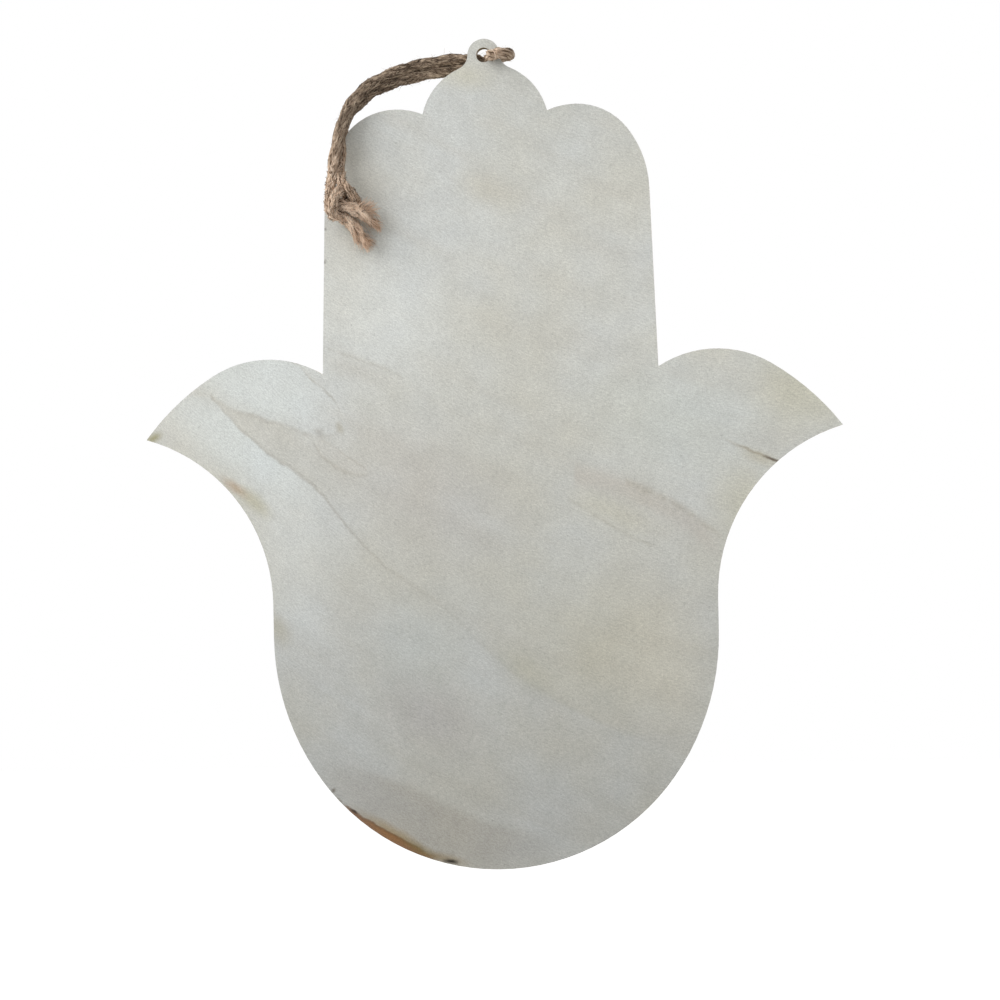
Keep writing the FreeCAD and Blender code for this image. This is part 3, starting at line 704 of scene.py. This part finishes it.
def front_figure_and_shade(wood, x, z):
    """The face veneer's own marks and a painted shade at its top, each as the shares that overlap in it, its
    colour and its strength: pale and brownish zones parted by thin dark lines at the left, a brown band at
    the right, bark on the rim below and the top painted greyer."""
    wobble_place = add_node(wood, "ShaderNodeCombineXYZ", {0: x, 2: z})
    wobble = add_node(wood, "ShaderNodeTexNoise", {
        "Vector": wobble_place.outputs[0], "Scale": 0.30, "Detail": 2.0, "Roughness": 0.5})
    wobble_parts = add_node(wood, "ShaderNodeSeparateColor", {0: wobble.outputs["Color"]})
    wobbled = []
    for part, straight in enumerate((x, z)):
        moved = add_node(wood, "ShaderNodeMath", {
            0: wobble_parts.outputs[part], 1: WOBBLE, 2: straight}, operation="MULTIPLY_ADD")
        wobbled.append(add_node(wood, "ShaderNodeMath", {
            0: moved.outputs[0], 1: WOBBLE / 2}, operation="SUBTRACT").outputs[0])
    x, z = wobbled

    # Lines are broken, or only worn thin, where the same noise is low.
    broken = add_node(wood, "ShaderNodeMapRange", {
        0: wobble_parts.outputs[2], 1: 0.42, 2: 0.56}).outputs[0]
    worn = add_node(wood, "ShaderNodeMapRange", {
        0: wobble_parts.outputs[2], 1: 0.38, 2: 0.60, 3: 0.30, 4: 1.0}).outputs[0]

    def line(places, half_width):
        return figure_line(wood, x, z, places, half_width)

    def patch(centre, half_length, half_width, lean, edge=1.0):
        return soft_patch(wood, x, z, centre, half_length, half_width, lean, edge)

    long_line, above_long = line([
        (-85.5, -101.5), (-79, -109), (-73.5, -114.5), (-67, -120), (-58.5, -126), (-51, -133),
        (-47, -138.5), (-40, -147), (-33, -154.2), (-25.4, -159.6), (-15.5, -167), (-2.5, -179.6),
        (5.3, -186.9), (17.2, -194.8), (28, -200.8), (40.2, -206.3)], 1.2)
    upper_line, above_upper = line([
        (-85.5, -101.5), (-78, -106), (-73, -107.5), (-67.5, -109.5), (-61, -111.5), (-55, -114),
        (-50.5, -114.5), (-45, -111)], 1.2)
    tongue_line, above_tongue = line([
        (-66, -88), (-62.5, -90.5), (-58.5, -92.5), (-55, -96.5), (-50, -101), (-47, -104.5),
        (-45, -111)], 0.8)
    chip_top, above_chip = line([
        (-53.5, -115.5), (-48.5, -117), (-44.5, -120.5), (-40.5, -123), (-37, -126.5)], 0.7)
    chip_bottom, above_chip_bottom = line([
        (-54.5, -116), (-50.5, -121.5), (-46, -124.5), (-41.5, -126.3), (-37, -126.8)], 1.2)
    bark_rim, above_bark = line([
        (-47, -226.5), (-44, -228.3), (-40.5, -230.6), (-36, -233.3), (-30, -236.7), (-25.5, -239.2),
        (-21, -241.6)], 0.8)
    band, _ = line([
        (25, -128), (32.6, -129.4), (40.2, -132), (47.7, -135.8), (56.6, -140.8), (64.1, -146.7),
        (69.2, -151.3)], 6.0)
    band_rim, _ = line([
        (40.2, -130.2), (46.8, -133), (54, -136.5), (62.7, -142.7), (68.6, -147.4), (71, -149.5)], 2.0)
    fork, _ = line([(23, -135), (28, -138), (34, -142), (41.5, -146.5), (50, -150)], 1.1)
    _, above_low = line([
        (-62, -202), (-48, -212), (-36, -217.5), (-27, -220.5), (-15, -227), (0, -233), (18, -236)], 1.3)
    wedge, _ = line([(-49.5, -87.5), (-42.5, -90.5), (-33, -94), (-25, -98)], 1.1)

    olive_side = zone(wood, patch((31.6, -181), 50, 38, -38), (above_long, 1.2))
    pale_tongue = zone(wood, patch((-70, -97), 28, 15, -24, 0.6), (above_upper, 1.0), (above_tongue, -0.8))
    pale_shelf = zone(wood, patch((-76, -117), 36, 14, -38, 0.8), (above_long, -0.8))
    brown_between = zone(wood, patch((-60, -118), 34, 18, -38, 0.7), (above_long, 0.8), (above_upper, -1.0))
    chip = zone(wood, patch((-45.5, -121), 10, 5, -33, 0.2), (above_chip, -0.4), (above_chip_bottom, 0.4))
    below_bark = zone(wood, patch((-34, -236), 19, 9, -30, 0.3), (above_bark, -0.7))
    below_low = zone(wood, patch((-20, -230), 48, 16, -20, 0.6), (above_low, -2.0))
    return [
        (patch((-4, -128), 70, 75, 0), "b3b0a3", 0.25),
        # Painted shade: the top of the hand is painted greyer, most near the ring, standing in for light
        # that falls off there.
        (patch((16, -4), 66, 56, 0), "b2b3ad", 0.30),
        (patch((55, -112), 42, 24, -15), "cad0cb", 0.42),
        (patch((95, -103), 24, 20, -30), "c9c6b0", 0.55),
        (patch((36, -139), 18, 6, -24), "cfcbb6", 0.35),
        (patch((-31.5, -79.7), 36, 26, -20), "e0e4e3", 0.45),
        (olive_side, "ccc4a4", 0.28),
        (patch((8.8, -186), 18, 8, -38), "b5af92", 0.32),
        (patch((52, -190), 22, 36, 12), "e0dac8", 0.42),
        (patch((-21.9, -131.4), 44, 28, -30), "b9b2b0", 0.24),
        (patch((-21, -198.6), 26, 15, -30), "b5b0b2", 0.35),
        (patch((-24, -180), 24, 26, -30), "c6cdcc", 0.35),
        (patch((-62, -152), 36, 18, -80), "e2e6e5", 0.42),
        (patch((-66, -173), 8, 5, -60), "b0a88c", 0.4),
        (patch((-41, -94.5), 18, 6, -20), "b8b2a6", 0.28),
        (patch((1, -41), 14, 8, -30), "c4bfb0", 0.4),
        (patch((-6, -6), 13, 7, -10), "cbc6b0", 0.5),
        (pale_shelf, "dde5e6", 0.44),
        (pale_tongue, "dde5e6", 0.40),
        (brown_between, "bdb9ad", 0.34),
        (chip, "cfccc4", 0.26),
        (long_line, patch((-58, -128), 60, 24, -45, 0.8), "857b6c", 0.20),
        (long_line, worn, "8d8270", 0.11),
        (upper_line, worn, "8f8474", 0.24),
        (tongue_line, worn, "857963", 0.30),
        (patch((-52.5, -113), 2.6, 1.8, -30), "7a7062", 0.35),
        (patch((-46, -112), 3.0, 1.8, -70), "a09474", 0.38),
        (chip_top, worn, "958a78", 0.20),
        (chip_bottom, worn, "958a78", 0.26),
        (band, "b8a99b", 0.24),
        (band_rim, broken, "93866f", 0.16),
        (band_rim, "93866f", 0.10),
        (fork, worn, "a09a88", 0.28),
        (wedge, worn, "958c7c", 0.20),
        (below_low, "a89f92", 0.35),
        (patch((-78.2, -129.6), 7.5, 2.5, -36), "a5825a", 0.55),
        (patch((-72.3, -134.3), 9, 4, -45), "b5ae8a", 0.5),
        (patch((81, -124), 10, 3.2, -24), "b8ac8c", 0.35),
        (patch((78.5, -121.8), 11, 0.8, -25, 0.9), "8a7a5c", 0.45),
        (patch((84.8, -124.6), 4.8, 0.8, -25, 0.9), "4e3c28", 0.8),
        (patch((77.8, -141), 15, 22, 20), "c9c6ae", 0.40),
        (patch((-103.4, -113.8), 4.4, 2.4, 30), "8f8750", 0.7),
        (patch((-31.5, -235.2), 20, 3.0, -31), "ab9364", 0.7),
        (below_bark, "845830", 0.85),
        (below_bark, patch((-33, -235.5), 14, 4.0, -31), "a87a48", 0.6),
        (bark_rim, "744c20", 0.6),
        (patch((-24, -240), 9, 2.4, -28), "8a7848", 0.6),
        (patch((-44, -228.3), 1.8, 0.6, -32, 0.8), "2b1b0d", 0.8),
        (patch((-16, -243), 9, 2.6, -14), "9b8352", 0.6),
        (patch((-14.6, -243.8), 3.8, 1.2, -6), "1c130a", 1.0),
        (patch((-50, -222), 1.2, 0.9, 60, 0.9), "6a5f50", 0.7),
        (patch((-48.5, -225), 2.2, 1.0, -45, 0.9), "7a6a50", 0.6),
        (patch((-49.5, -51.7), 0.9, 0.7, 0, 0.9), "4a4238", 0.55),
        (patch((-49.5, -61.5), 0.8, 0.9, 0, 0.9), "5a5248", 0.5)]


# Painted shade: the veneer is painted darker from the palm down to the heel, standing in for light that
# falls off towards the bottom.
HEEL_TOP = -100.0
HEEL_BOTTOM = -246.0
HEEL_PAINTED_SHADE = 0.70


def veneer_material(name, grain_start, lean, bow, figure):
    """Rotary-cut poplar, sanded and unfinished: pale grey-green and matt, with a fine broken grain that
    follows the log, soft bands along it and fine dark pores; painted shade darkens it towards the heel."""
    wood = new_material(name)
    x, _, z = board_place(wood)
    bend = add_node(wood, "ShaderNodeMath", {0: x, 1: x}, operation="MULTIPLY")
    fall = add_node(wood, "ShaderNodeMath", {0: x, 1: lean, 2: z}, operation="MULTIPLY_ADD")
    across_grain = add_node(wood, "ShaderNodeMath", {0: bend.outputs[0], 1: bow, 2: fall.outputs[0]},
                            operation="MULTIPLY_ADD").outputs[0]
    along_grain = add_node(wood, "ShaderNodeMath", {
        0: z, 1: -lean, 2: x}, operation="MULTIPLY_ADD").outputs[0]
    grain_place = add_node(wood, "ShaderNodeCombineXYZ", {0: along_grain, 1: across_grain, 2: grain_start})
    # Poplar's vessels, 0.1 mm wide, are too fine to show, so they are drawn as broken streaks
    # 0.5 mm wide and 2 mm long. The log's growth makes soft bands about 10 mm wide.
    streak_scale = add_node(wood, "ShaderNodeMapping", {
        "Vector": grain_place.outputs[0], "Scale": (0.60, 1.9, 1.0)})
    streaks = add_node(wood, "ShaderNodeTexNoise", {
        "Vector": streak_scale.outputs[0], "Scale": 1.0, "Detail": 4.0, "Roughness": 0.78})
    band_scale = add_node(wood, "ShaderNodeMapping", {
        "Vector": grain_place.outputs[0], "Scale": (0.012, 0.10, 1.0)})
    bands = add_node(wood, "ShaderNodeTexNoise", {
        "Vector": band_scale.outputs[0], "Scale": 1.0, "Detail": 3.0, "Roughness": 0.55})
    # Stains 30 mm wide, clouds along the grain 8 mm wide, pores 1 mm apart and sanding grit, which
    # is drawn 0.4 mm coarse to show.
    face_place = add_node(wood, "ShaderNodeCombineXYZ", {0: x, 1: grain_start, 2: z})
    patches = add_node(wood, "ShaderNodeTexNoise", {
        "Vector": face_place.outputs[0], "Scale": 0.03, "Detail": 2.0, "Roughness": 0.5})
    clouds = add_node(wood, "ShaderNodeTexNoise", {
        "Vector": grain_place.outputs[0], "Scale": 0.13, "Detail": 4.0, "Roughness": 0.6})
    pores = add_node(wood, "ShaderNodeTexNoise", {
        "Vector": face_place.outputs[0], "Scale": 0.9, "Detail": 1.0, "Roughness": 0.5})
    grit = add_node(wood, "ShaderNodeTexNoise", {
        "Vector": face_place.outputs[0], "Scale": 2.4, "Detail": 1.0, "Roughness": 0.5})

    patch_share = add_node(wood, "ShaderNodeMapRange", {0: patches.outputs[0], 1: 0.35, 2: 0.65})
    colour = add_node(wood, "ShaderNodeMix", {
        0: patch_share.outputs[0], 6: linear_colour("cdccc3"), 7: linear_colour("cfd1ce")},
        data_type="RGBA").outputs[2]
    band_share = add_node(wood, "ShaderNodeMapRange", {
        0: bands.outputs[0], 1: 0.45, 2: 0.75, 3: 0.0, 4: 0.30})
    colour = add_node(wood, "ShaderNodeMix", {
        0: band_share.outputs[0], 6: colour, 7: linear_colour("beb9ae")}, data_type="RGBA").outputs[2]
    for *shares, hex_code, strength in figure(wood, x, z):
        amount = strength
        for share in shares:
            amount = add_node(wood, "ShaderNodeMath", {0: share, 1: amount}, operation="MULTIPLY").outputs[0]
        colour = add_node(wood, "ShaderNodeMix", {
            0: amount, 6: colour, 7: linear_colour(hex_code)}, data_type="RGBA").outputs[2]
    streak_share = add_node(wood, "ShaderNodeMapRange", {
        0: streaks.outputs[0], 1: 0.28, 2: 0.72, 3: 0.80, 4: 1.16})
    grit_share = add_node(wood, "ShaderNodeMapRange", {
        0: grit.outputs[0], 1: 0.30, 2: 0.70, 3: 0.90, 4: 1.10})
    pore_share = add_node(wood, "ShaderNodeMapRange", {
        0: pores.outputs[0], 1: 0.66, 2: 0.76, 3: 1.0, 4: 0.86})
    cloud_share = add_node(wood, "ShaderNodeMapRange", {
        0: clouds.outputs[0], 1: 0.30, 2: 0.70, 3: 0.94, 4: 1.04})
    # Painted shade: darker towards the heel; grain, pores, grit and clouds multiply into the same tone.
    painted_heel_shade = add_node(wood, "ShaderNodeMapRange", {
        0: z, 1: HEEL_BOTTOM, 2: HEEL_TOP, 3: HEEL_PAINTED_SHADE, 4: 1.0}, interpolation_type="SMOOTHSTEP")
    tone = painted_heel_shade.outputs[0]
    for part in (streak_share, pore_share, grit_share, cloud_share):
        tone = add_node(wood, "ShaderNodeMath", {
            0: tone, 1: part.outputs[0]}, operation="MULTIPLY").outputs[0]
    toned = add_node(wood, "ShaderNodeVectorMath", {0: colour, "Scale": tone}, operation="SCALE")
    # The sawn rim of the veneer is a little browner than its face.
    facing = add_node(wood, "ShaderNodeTexCoord").outputs["Normal"]
    facing_y = add_node(wood, "ShaderNodeSeparateXYZ", {0: facing}).outputs[1]
    flatness = add_node(wood, "ShaderNodeMath", {0: facing_y}, operation="ABSOLUTE")
    rim = add_node(wood, "ShaderNodeMapRange", {0: flatness.outputs[0], 1: 0.4, 2: 0.7, 3: 0.7, 4: 0.0})
    rimmed = add_node(wood, "ShaderNodeMix", {
        0: rim.outputs[0], 6: toned.outputs[0], 7: linear_colour("c0b090")}, data_type="RGBA")
    bump = add_node(wood, "ShaderNodeBump", {
        "Height": streaks.outputs[0], "Strength": 0.3, "Distance": 0.08 * MM})
    shader = add_node(wood, "ShaderNodeBsdfPrincipled", {
        "Base Color": rimmed.outputs[2], "Roughness": 0.68, "IOR": 1.5,
        "Specular IOR Level": 0.3, "Normal": bump.outputs[0]})
    add_node(wood, "ShaderNodeOutputMaterial", {"Surface": shader.outputs[0]})
    return wood


def back_figure(wood, x, z):
    """The back veneer is plainer: two long soft streaks."""
    streak, _ = figure_line(wood, x, z, [
        (-70, -60), (-42, -82), (-22, -94), (4, -120), (30, -133), (60, -152)], 6.0)
    mineral, _ = figure_line(wood, x, z, [
        (-60, -172), (-44, -176), (-31, -185), (-12, -191), (4, -202), (30, -212)], 2.4)
    return [(streak, "b9b09c", 0.4), (mineral, "8d8270", 0.2)]


def core_material():
    """The core veneer, seen only at the sawn rim: its grain runs the other way, so its pores are
    cut open there, and a thin dark line of glue parts it from each face."""
    wood = new_material("sawn_poplar_core")
    x, y, z = board_place(wood)
    rim_place = add_node(wood, "ShaderNodeCombineXYZ", {0: x, 1: y, 2: z})
    # The cut vessels are drawn 0.6 mm wide and 2 mm long, coarser than life, so that they show.
    pore_scale = add_node(wood, "ShaderNodeMapping", {
        "Vector": rim_place.outputs[0], "Scale": (1.6, 0.5, 1.6)})
    pores = add_node(wood, "ShaderNodeTexNoise", {
        "Vector": pore_scale.outputs[0], "Scale": 1.0, "Detail": 3.0, "Roughness": 0.7})
    cut = add_node(wood, "ShaderNodeMix", {
        0: pores.outputs[0], 6: linear_colour("7a674c"), 7: linear_colour("c8b896")}, data_type="RGBA")
    through = add_node(wood, "ShaderNodeMath", {0: y}, operation="ABSOLUTE")
    glue = add_node(wood, "ShaderNodeMapRange", {
        0: through.outputs[0], 1: 0.72, 2: 0.86, 3: 0.0, 4: 0.75})
    colour = add_node(wood, "ShaderNodeMix", {
        0: glue.outputs[0], 6: cut.outputs[2], 7: linear_colour("5e4c38")}, data_type="RGBA")
    bump = add_node(wood, "ShaderNodeBump", {
        "Height": pores.outputs[0], "Strength": 0.5, "Distance": 0.12 * MM})
    shader = add_node(wood, "ShaderNodeBsdfPrincipled", {
        "Base Color": colour.outputs[2], "Roughness": 0.8, "IOR": 1.5,
        "Specular IOR Level": 0.25, "Normal": bump.outputs[0]})
    add_node(wood, "ShaderNodeOutputMaterial", {"Surface": shader.outputs[0]})
    return wood


def dress(node, material):
    """Gives a CAD node its material in every slot."""
    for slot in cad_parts[node].material_slots:
        slot.material = material


GRAIN_LEAN = 0.51
GRAIN_BOW = -0.00157
dress("front_veneer", veneer_material(
    "sanded_poplar_front", grain_start=0.0, lean=GRAIN_LEAN, bow=GRAIN_BOW, figure=front_figure_and_shade))
dress("back_veneer", veneer_material(
    "sanded_poplar_back", grain_start=50.0, lean=GRAIN_LEAN, bow=0.0, figure=back_figure))
dress("core_veneer", core_material())

# A pale studio floor lies below the hanging ornament. To the camera it is lifted to white, and the
# ornament's shadow stays on it.
FLOOR_HEIGHT = -0.50
FLOOR_SIZE = 6.0
FLOOR_LIFT = 0.80


def seen_itself(material):
    """1 where the camera, a gloss or glass shows the surface itself, and 0 where it only gives light."""
    sight = add_node(material, "ShaderNodeLightPath")
    seen = sight.outputs["Is Camera Ray"]
    for ray in ("Is Glossy Ray", "Is Transmission Ray"):
        seen = add_node(material, "ShaderNodeMath", {
            0: seen, 1: sight.outputs[ray]}, operation="MAXIMUM").outputs[0]
    return seen


bpy.ops.object.select_all(action="DESELECT")
bpy.ops.mesh.primitive_plane_add(size=1.0, location=(0.0, 0.0, 0.0))
floor = bpy.context.object
floor.name = "studio_floor"
for vertex in floor.data.vertices:
    vertex.co = Vector((FLOOR_SIZE * vertex.co.x, FLOOR_SIZE * vertex.co.y, FLOOR_HEIGHT))
paper = new_material("matt_white_paper")
paper_surface = add_node(paper, "ShaderNodeBsdfDiffuse", {"Color": linear_colour("e6e6e4")})
lift_level = add_node(paper, "ShaderNodeMath", {
    0: seen_itself(paper), 1: FLOOR_LIFT}, operation="MULTIPLY")
lift = add_node(paper, "ShaderNodeEmission", {
    "Color": (1.0, 1.0, 1.0, 1.0), "Strength": lift_level.outputs[0]})
lifted_paper = add_node(paper, "ShaderNodeAddShader", {0: paper_surface.outputs[0], 1: lift.outputs[0]})
add_node(paper, "ShaderNodeOutputMaterial", {"Surface": lifted_paper.outputs[0]})
floor.data.materials.append(paper)

# Soft daylight: a large soft lamp on the left grazes the board, a weak one fills in from the right
# in front and another lights the back. The sky is dim, but white to the camera.
SKY_LEVEL = 0.36
world = bpy.data.worlds.new("studio_sky")
bpy.context.scene.world = world
world.use_nodes = True
world.node_tree.nodes.clear()
sky_light = add_node(world, "ShaderNodeBackground", {"Color": (1.0, 1.0, 1.0, 1.0), "Strength": SKY_LEVEL})
sky_white = add_node(world, "ShaderNodeBackground", {"Color": (1.0, 1.0, 1.0, 1.0), "Strength": 1.0})
sky_mix = add_node(world, "ShaderNodeMixShader", {
    0: seen_itself(world), 1: sky_light.outputs[0], 2: sky_white.outputs[0]})
add_node(world, "ShaderNodeOutputWorld", {"Surface": sky_mix.outputs[0]})


def hang_lamp(name, place, aim, size, power):
    """A square soft lamp at a place, turned to face the aim."""
    lamp = bpy.data.lights.new(name, "AREA")
    lamp.size = size
    lamp.energy = power
    lamp_object = bpy.data.objects.new(name, lamp)
    lamp_object.location = place
    lamp_object.rotation_mode = "QUATERNION"
    lamp_object.rotation_quaternion = (Vector(aim) - Vector(place)).to_track_quat("-Z", "Y")
    bpy.context.scene.collection.objects.link(lamp_object)


hang_lamp("key_lamp", place=(-0.66, -0.34, 0.33), aim=(-0.02, 0.0, -0.10), size=0.92, power=8.8)
hang_lamp("fill_lamp", place=(0.22, -0.55, 0.30), aim=(0.02, 0.0, -0.18), size=0.80, power=1.3)
hang_lamp("back_lamp", place=(0.3, 0.9, 0.3), aim=(0.0, 0.0, -0.12), size=0.6, power=5.0)

# The camera stands 0.75 m in front of the ornament and a little to its right, with a short
# telephoto lens. It looks up and is rolled by about a degree.
CAMERA_DISTANCE = 0.750
CAMERA_YAW = math.radians(-4.5)
CAMERA_PITCH = math.radians(0.722)
CAMERA_ROLL = math.radians(-1.128)
CAMERA_AIM = Vector((0.00225, 0.0, -0.13488))
LENS = 89.2
SENSOR_WIDTH = 36.0
sight_line = Vector((math.sin(CAMERA_YAW) * math.cos(CAMERA_PITCH),
                     math.cos(CAMERA_YAW) * math.cos(CAMERA_PITCH),
                     math.sin(CAMERA_PITCH)))
camera_data = bpy.data.cameras.new("studio_camera")
camera_data.lens = LENS
camera_data.sensor_width = SENSOR_WIDTH
camera = bpy.data.objects.new("studio_camera", camera_data)
camera.location = CAMERA_AIM - CAMERA_DISTANCE * sight_line
camera.rotation_mode = "QUATERNION"
camera.rotation_quaternion = sight_line.to_track_quat("-Z", "Y") @ Quaternion((0.0, 0.0, 1.0), CAMERA_ROLL)
bpy.context.scene.collection.objects.link(camera)
bpy.context.scene.camera = camera
bpy.context.scene.view_settings.view_transform = "Standard"
